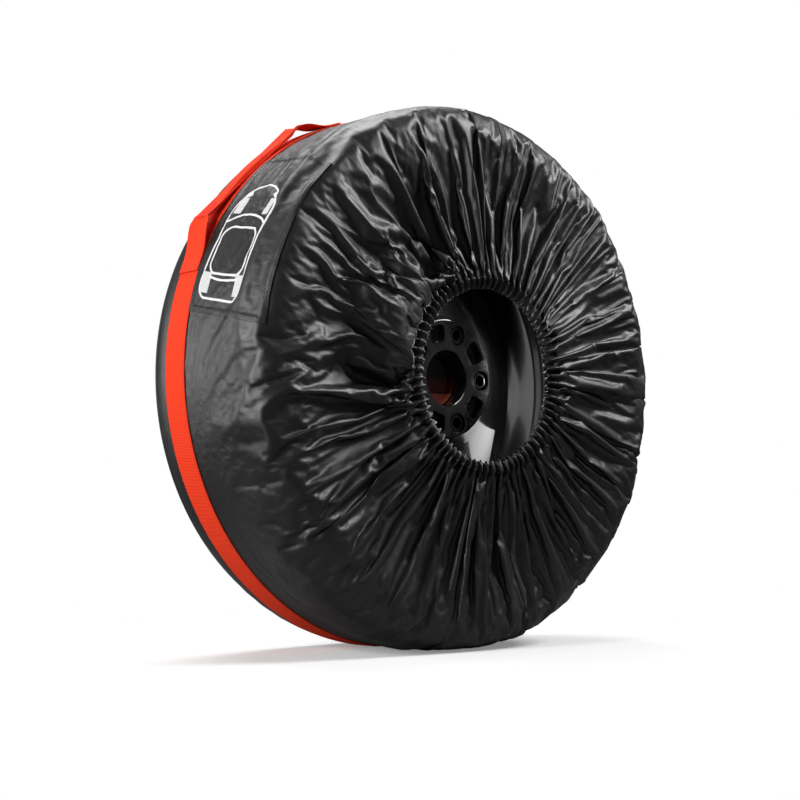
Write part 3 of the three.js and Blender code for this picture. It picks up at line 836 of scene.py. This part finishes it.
gusset_outline = [(0.3306, 0.054), (0.3306, 0.0605), (0.3310, 0.0635), (0.3312, 0.067), (0.3308, 0.072)]
gusset_outline += [(0.3298, 0.077), (0.3280, 0.0825), (0.3256, 0.0875), (0.3226, 0.0922), (0.3204, 0.0952)]
gusset_outline += [(0.3193, 0.0976)]
share = np.linspace(0, 1, len(gusset_outline))
gusset = lathe_cloth("rear_gusset_cloth", gusset_outline, 720, 21, 0.0006 * share**2, 0.0005 * share)
finished(gusset, nylon, "black_polyester", "root", "rear_gusset", smooth=180)

back_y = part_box("rear_disc")[1].y - axle.y
radii = np.concatenate([np.linspace(0.0, 0.29, 40), np.linspace(0.295, 0.3175, 12)])
flat_radius = 0.268
fall = (np.maximum(radii - flat_radius, 0) / (radii[-1] - flat_radius)) ** 2.2 * 0.0159
back_outline = np.stack([radii, back_y - 0.0006 - fall], -1)
share = radii / radii[-1]
pull = 0.0011 * share**5 * (share < 0.995)
sag = 0.0016 * share**2 * (1 - share**8)
back = lathe_cloth("closed_back_cloth", back_outline, 480, 33, pull, sag, flat_back=True)
mended(back, weld=True, outward=False)
finished(back, nylon, "black_polyester", "root", "rear_disc", smooth=180)

piping_radius, piping_along, cord_radius = 318.8, 99.0, 2.2
section = np.arange(12) / 12 * math.tau
piping_outline = [
    (piping_radius + cord_radius * math.cos(a), piping_along + cord_radius * math.sin(a)) for a in section
]
piping = turned("piped_seam", piping_outline, 240)
press(piping)
tape_colour = (0.012, 0.012, 0.013)
tape_finish = grained("binding_tape", tape_colour, 1400, 0.55, 0.2, 0.5, 0.0004, Sheen_Weight=0.15)
finished(piping, tape_finish, "black_tape", "root", "shoulder_piping", smooth=180)

# ---------------------------------------------------------------- pieces that lie on the cloth
# The seam tapes, the patch and the printed diagram all follow the gathered cloth. Each is drawn flat, in
# millimetres round the tyre and down the cloth, and laid on it a little way up.


def on_sheet(middle, plan, lift):
    """Maps flat (round, down) millimetres from a middle given in (degrees, metres) onto the cloth."""
    plan = np.asarray(plan, float)
    degrees = middle[0] + np.degrees(plan[..., 0] / 1000 / cloth_radius)
    return on_cloth(degrees, middle[1] + plan[..., 1] / 1000, lift)


def laid_slab(name, middle, plan, low, high):
    """A thin closed slab over a grid of flat points, between two lifts in millimetres."""
    top = on_sheet(middle, plan, np.asarray(high) / 1000)
    bottom = on_sheet(middle, plan, low / 1000)
    columns, rows = plan.shape[:2]
    count = columns * rows
    faces = grid_faces(columns, rows, False).tolist()
    faces += [tuple(count + k for k in reversed(face)) for face in grid_faces(columns, rows, False)]
    edge = [(c, 0) for c in range(columns)] + [(columns - 1, r) for r in range(1, rows)]
    edge += [(c, rows - 1) for c in range(columns - 2, -1, -1)] + [(0, r) for r in range(rows - 2, 0, -1)]
    ring = [c * rows + r for c, r in edge]
    for here, there in zip(ring, ring[1:] + ring[:1]):
        faces.append((here, there, count + there, count + here))
    points = np.concatenate([top.reshape(-1, 3), bottom.reshape(-1, 3)])
    piece = meshed(name, points.tolist(), [], faces)
    layer = piece.data.uv_layers.new(name="cloth")
    flat = np.tile(plan.reshape(-1, 2) / 1000, (2, 1))
    corner = np.empty(len(piece.data.loops), np.int32)
    piece.data.loops.foreach_get("vertex_index", corner)
    layer.data.foreach_set("uv", flat[corner].astype(np.float32).ravel())
    return mended(piece)


def resampled(points, pitch):
    """Points at an even pitch along a line of flat points."""
    points = np.asarray(points, float)
    length = lengths(points)
    where = np.linspace(0, length[-1], max(2, round(length[-1] / pitch) + 1))
    return np.stack([np.interp(where, length, points[:, k]) for k in range(points.shape[1])], -1)


def thread(name, colour):
    twisted = Finish(name, colour, Roughness=0.6, Sheen_Weight=0.2)
    twisted.bump(twisted.noise(5200, 1), 0.5, 0.0002)
    return twisted


def stitched(name, lines, finish, slot, nodes=(), length=0.0031, thick=0.00075, pitch=0.0042):
    """Rows of small round stitches. Each line is (points, outward normals), in metres."""
    bpy.ops.mesh.primitive_uv_sphere_add(segments=6, ring_count=4, radius=1)
    one = bpy.context.object
    bump = vertices_of(one)
    faces = [tuple(face.vertices) for face in one.data.polygons]
    bpy.data.objects.remove(one)
    points, polygons = [], []
    for line, normals in lines:
        both = resampled(np.concatenate([line, normals / 1000], 1), pitch)
        ahead = unit(np.gradient(both[:, :3], axis=0))
        out = both[:, 3:] * 1000
        side = unit(np.cross(ahead, out))
        for centre_at, f, s, o in zip(both[:, :3], ahead, side, out):
            placed = centre_at + bump[:, 2:] * f * length / 2 + bump[:, :1] * s * thick / 2
            polygons += [tuple(len(points) + k for k in face) for face in faces]
            points += (placed + bump[:, 1:2] * o * thick / 2).tolist()
    piece = mended(meshed(name, points, [], polygons))
    finished(piece, finish, slot, "root", *nodes, smooth=180)


def cloth_line(middle, flat, lift):
    """A line on the cloth, with its outward normals, from flat points in millimetres."""
    flat = resampled(flat, 2.5)
    line = on_sheet(middle, flat, lift / 1000)
    return line, unit(on_sheet(middle, flat, lift / 1000 + 0.001) - line)


black_thread = thread("black_thread", (0.02, 0.02, 0.022))
for place, degrees in (("upper", upper_seam), ("lower", lower_seam)):
    length = np.linspace(8, 318, 150)
    width = np.linspace(-4.5, 4.5, 7)
    plan = np.stack(np.meshgrid(width, length, indexing="ij"), -1)
    tape = laid_slab(f"seam_tape_{place}_sewn", (degrees, 0.0), plan, 0.15, 0.95)
    finished(tape, tape_finish, "black_tape", "root", f"seam_tape_{place}", smooth=50)
    rows = [cloth_line((degrees, 0.0), [(x, 9), (x, 316)], 1.0) for x in (-3.1, 3.1)]
    stitched(f"seam_stitching_{place}", rows, black_thread, "black_tape")

# ---------------------------------------------------------------- position patch
# A square-cornered patch of the same cloth with its edges turned in, sewn on over the tread and the
# shoulder with two rows of stitches. The cloth under it is dragged a little askew, and the patch with it.
patch_middle = (151.8, 0.072)
patch_half = (112.0, 66.0)
drag = 0.2


def askew(flat):
    """Flat points with the drag of the cloth."""
    flat = np.array(flat, float)
    flat[..., 0] += drag * flat[..., 1]
    return flat


across = np.linspace(-patch_half[0], patch_half[0], 120)
downwards = np.linspace(-patch_half[1], patch_half[1], 70)
plan = askew(np.stack(np.meshgrid(across, downwards, indexing="ij"), -1))
border = 7
beside = patch_half[0] - np.abs(across)[:, None] < border
above = patch_half[1] - np.abs(downwards)[None, :] < border
turned_in = np.logical_or(beside, above)
patch = laid_slab("position_patch_cloth", patch_middle, plan, 0.1, 1.1 + 0.9 * turned_in)
patch_cloth = coated_nylon("patch_polyester", 0.36)
finished(patch, patch_cloth, "black_polyester", "root", "position_patch", smooth=50)

stitch_lift = 2.05
rows = []
for inset in (2.2, 5.2):
    a, b = patch_half[0] - inset, patch_half[1] - inset
    corners = [(-a, -b), (a, -b), (a, b), (-a, b), (-a, -b)]
    for here, there in zip(corners, corners[1:]):
        rows.append(cloth_line(patch_middle, askew(resampled([here, there], 2.5)), stitch_lift))
stitched("patch_stitching", rows, black_thread, "black_tape")

# ---------------------------------------------------------------- printed diagram
# A plain plan view of a car, printed in white: the body's outline, the screen, the roof and the rear
# window as lines, and a grey block for each wheel. It shows which wheel the cover holds.
car_length = 152.0
car_half_width = 44.0
line_width = 2.8
print_middle = (154.6, 0.0645)


def on_print(flat):
    """The diagram's (lengthwise, crosswise) millimetres, measured from its middle, laid on the cloth."""
    flat = np.asarray(flat, float)
    lengthwise = flat[..., 0] - car_length / 2
    return np.stack([lengthwise + drag * flat[..., 1], flat[..., 1] - 0.06 * lengthwise], -1)


def printed(line, width, name):
    """A printed line of some width: a thin slab that follows a path of flat points."""
    line = resampled(line, 2.0)
    ahead = np.gradient(line, axis=0)
    if np.allclose(line[0], line[-1]):
        ahead[0] = ahead[-1] = line[1] - line[-2]
    ahead = unit(ahead)
    side = np.stack([-ahead[:, 1], ahead[:, 0]], -1)
    offsets = np.linspace(-width / 2, width / 2, max(3, round(width / 2) + 1))
    plan = line[:, None] + side[:, None] * offsets[None, :, None]
    return laid_slab(name, print_middle, on_print(plan), 0.9, 1.28)


def arc(centre_u, centre_v, radius_u, radius_v, start, end):
    """Points on part of an ellipse, between two angles in degrees."""
    angles = np.radians(np.linspace(start, end, 24))
    return [(centre_u + radius_u * math.cos(a), centre_v + radius_v * math.sin(a)) for a in angles]


body = arc(40, 0, 40, car_half_width, 270, 90)
body += [(75, 41.5), (118, 43.5)] + arc(136, 28, 16, 15.5, 90, 0) + arc(136, -28, 16, 15.5, 0, -90)
body += [(118, -43.5), (75, -41.5), body[0]]
roof = arc(78, 22, 16, 14, 180, 90) + arc(106, 22, 16, 14, 90, 0)
roof += arc(106, -22, 16, 14, 0, -90) + arc(78, -22, 16, 14, -90, -180)
roof.append(roof[0])
white_lines = [
    (body, line_width),
    (roof, line_width),
    (arc(82, 0, 38, 58, 227, 133), line_width),
    (arc(112, 0, 17, 52, -35, 35), line_width),
    ([(12, 24), (19, 35)], 5.5),
    ([(12, -24), (19, -35)], 5.5),
]
blocks = [([(20, v), (43, v)], 16) for v in (-32, 32)]
blocks += [([(121, v), (146, v)], 17) for v in (-34, 34)]


def ink(name, low, high):
    paint = Finish(name, high, Specular_IOR_Level=0.35)
    wear = paint.noise(420, 4)
    paint.feed("Base Color", paint.between(wear, low, high))
    paint.feed("Roughness", 0.45 + 0.2 * wear)
    return paint


white_ink = ink("white_ink", (0.68, 0.69, 0.69), (0.82, 0.83, 0.83))
grey_ink = ink("grey_ink", (0.55, 0.56, 0.56), (0.68, 0.69, 0.69))
for name, shapes, colour in (("lines", white_lines, white_ink), ("wheels", blocks, grey_ink)):
    marks = joined([printed(path, width, name) for path, width in shapes], f"diagram_{name}")
    finished(marks, colour, "diagram_white", "root", smooth=50)

# ---------------------------------------------------------------- webbing band
# A ribbed polyester webbing sewn round the tread over the seam of the front and the gusset, with a row
# of stitches along each edge.
strap_from = strap_low.y - axle.y
strap_to = strap_high.y - axle.y
strap_middle = (strap_from + strap_to) / 2
strap_thick = 0.0016

webbing = Finish("red_webbing", (0.96, 0.055, 0.018), Specular_IOR_Level=0.15)
fibre = webbing.noise(2600, 2, "UV", (1, 0.3, 1))
height = webbing.ribs(560, "X") * 0.8 + webbing.ribs(900, "Y") * 0.25 + fibre * 0.3
# The colour follows the rib height, darker where the ribs are low: painted shade in the grooves, with a
# random fibre tone.
webbing.feed("Base Color", webbing.between(height, (0.7, 0.024, 0.006), (1.0, 0.062, 0.016)))
webbing.feed("Roughness", 0.7 + 0.2 * fibre)
webbing.bump(height, 0.55, 0.0006)


def band(name, stations, width, thick, fold=0.0, round_closed=False):
    """Webbing along (radius, degrees) stations in the middle of its underside, with its edges folded up."""
    stations = np.asarray(stations, float)
    width, thick, fold = (np.broadcast_to(v, len(stations))[:, None] for v in (width, thick, fold))
    half = np.array([0.0, 0.2, 0.4, 0.6, 0.8, 0.92, 0.985])
    side = np.concatenate([-half[::-1], half[1:]])
    top = np.stack([side, 1 - (np.abs(side) > 0.93) * (np.abs(side) - 0.93) * 6], -1)
    section = np.concatenate([top, [(1.0, 0.5)], top[::-1] * (1, 0), [(-1.0, 0.5)]])
    radius = stations[:, :1] + section[:, 1] * thick + fold * section[:, 0] ** 2
    along = strap_middle + section[:, 0] * width / 2
    points = pressed(swept(radius, along, np.radians(stations[:, 1:])))
    metres = np.stack(np.broadcast_arrays(lengths(points[:, 0])[:, None], along), -1)
    points, metres = (np.concatenate([grid, grid[:, :1]], 1) for grid in (points, metres))
    return mended(grid_piece(name, points, round_closed, metres), weld=True, closed=round_closed)


stations = [(cover_radius - strap_thick, degrees) for degrees in np.arange(0, 360, 0.5)]
strap = band("webbing_band", stations, strap_to - strap_from, strap_thick, round_closed=True)
finished(strap, webbing, "red_webbing", "root", "perimeter_strap", smooth=40)


def edge_row(along, radius, start, end):
    """A line round the tread at a distance along the axle, with its outward normals."""
    angles = np.radians(np.arange(start, end, 0.4))
    out = np.stack([np.cos(angles), 0 * angles, np.sin(angles)], -1)
    line = np.array((0, axle.y + along, axle.z)) + out * radius
    return pressed(line), out


red_thread = thread("red_thread", (0.62, 0.028, 0.012))
row_start, row_end = -82, 262  # the band's ends meet under the wheel, and aren't stitched there
edges = (strap_from + 0.003, strap_to - 0.003)
edge_rows = [edge_row(along, cover_radius - 0.0001, row_start, row_end) for along in edges]
stitched("band_stitching", edge_rows, red_thread, "red_thread", thick=0.0007)

# ---------------------------------------------------------------- carrying handle
# A length of the same webbing. Its two ends are sewn flat on the band with a box of stitches, and
# between them it is folded in half lengthwise into a narrow grip that lies on the band and lifts off.
grip_ends = (149.0, 118.5)
lower_end = 160.5
upper_end = 108.0
grip_width = 0.019
rest_radius = cover_radius + 0.0010
end_rise = 0.008
sewn_lift = 0.0003  # how far the sewn ends lie above the band
sewn_thick = 0.0017
webbing_width = strap_to - strap_from - 0.001


def handle_station(degrees):
    """The underside's radius, the width, the thickness and the fold of the handle at an angle."""
    middle = (grip_ends[0] + grip_ends[1]) / 2
    half = (grip_ends[0] - grip_ends[1]) / 2
    away = abs(degrees - middle) / half
    sewn, crease = (lower_end, grip_ends[0]) if degrees > middle else (upper_end, grip_ends[1])
    run = abs(sewn - degrees) / abs(sewn - crease)
    low = cover_radius + sewn_lift
    if run < 1:
        radius = low + (rest_radius + end_rise - low) * ease(run, 0.22, 1.0)
    else:
        radius = rest_radius + end_rise * min(away, 1) ** 4
    width = webbing_width + (grip_width - webbing_width) * ease(run, 0.86, 1.14)
    thick = sewn_thick + 0.0024 * ease(run, 0.9, 1.1)
    fold = 0.0035 * ease(run, 0.4, 0.9) * (1 - ease(run, 1.0, 1.2))
    return radius, width, thick, fold


def handle_part(name, start, end):
    """A length of the handle between two angles in degrees."""
    angles = np.linspace(start, end, max(24, round(abs(end - start) / 0.35)))
    rows = [handle_station(degrees) for degrees in angles]
    radius, width, thick, fold = (np.array(column) for column in zip(*rows))
    return band(name, np.stack([radius, angles], -1), width, thick, fold)


def handle_point(degrees):
    """A place on the grip's own line."""
    return Vector(at_axle(rest_radius, strap_middle, math.radians(degrees)))


grip = handle_part("handle_grip_webbing", grip_ends[0], grip_ends[1])
finished(grip, webbing, "red_webbing", "carry_handle", "handle_grip", smooth=50)
for place, sewn, crease in (("lower", lower_end, grip_ends[0]), ("upper", upper_end, grip_ends[1])):
    tab = handle_part(f"handle_end_{place}", sewn, crease)
    dressed(tab, webbing, "red_webbing", f"handle_tab_{place}", smooth=50)
    inner = sewn + (crease - sewn) * 0.3
    handle_point(inner)
    handle_point(crease)
    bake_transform(tab)

    half_box = webbing_width / 2 - 0.004
    near_end = sewn + (crease - sewn) * 0.04
    far_end = sewn + (crease - sewn) * 0.21
    box = [(near_end, -half_box), (near_end, half_box), (far_end, half_box), (far_end, -half_box)]
    pairs = list(zip(box, box[1:] + box[:1])) + [(box[0], box[2]), (box[1], box[3])]
    rows = []
    for (from_degrees, from_side), (to_degrees, to_side) in pairs:
        angles = np.radians(np.linspace(from_degrees, to_degrees, 14))
        out = np.stack([np.cos(angles), 0 * angles, np.sin(angles)], -1)
        side = np.linspace(from_side, to_side, 14)
        rows.append((swept(cover_radius + sewn_lift + sewn_thick, strap_middle + side, angles), out))
    stitched(f"handle_stitches_{place}", rows, red_thread, "red_thread", (f"handle_stitching_{place}",))
